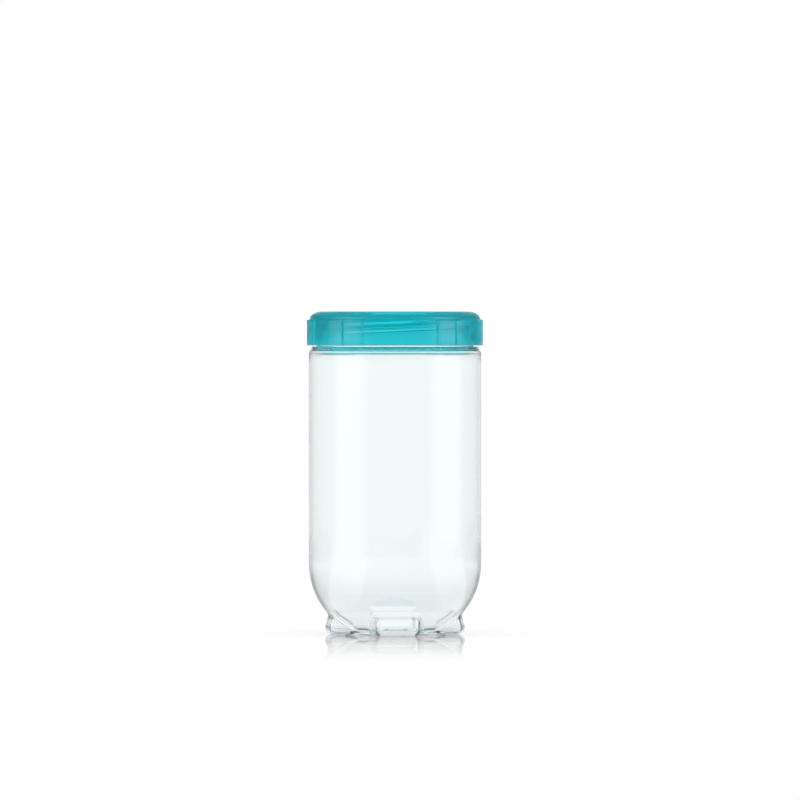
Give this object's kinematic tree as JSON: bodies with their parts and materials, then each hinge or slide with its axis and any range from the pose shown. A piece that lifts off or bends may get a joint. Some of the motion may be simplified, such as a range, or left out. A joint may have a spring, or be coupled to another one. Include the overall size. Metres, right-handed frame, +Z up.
{
  "type": "food storage jar",
  "caption": "Tall round clear food storage jar with a rounded bottom, interlocking feet and a tinted screw lid with grip pads and a stacking socket.",
  "frame": {"origin": "centre of the footprint, on the surface that the feet stand on", "axes": "+Z up along the jar's axis; the four feet point along +X, +Y, -X and -Y; -Y is the pictured front"},
  "size_m": [0.1022, 0.1, 0.187],
  "materials": {
    "clear_plastic": "clear, water-white, polished",
    "tinted_plastic": "translucent turquoise, glossy",
    "silicone": "milky, satin"
  },
  "bodies": {
    "jar": {"jar": "clear_plastic"},
    "sealing_ring": {"sealing_ring": "silicone"},
    "lid": {"lid": "tinted_plastic"}
  },
  "joints": [
    {"name": "lid_lift", "type": "slide", "parent": "jar", "child": "sealing_ring", "axis": [0, 0, 1], "range_m": [0, 0.0204]},
    {"name": "lid_turn", "type": "hinge", "parent": "sealing_ring", "child": "lid", "pos_m": [0, 0, 0.177], "axis": [0, 0, 1], "range_deg": [0, 630]}
  ],
  "couplings": [
    {"joint": "lid_lift", "follows": "lid_turn", "m_per_rad": 0.0018462}
  ]
}
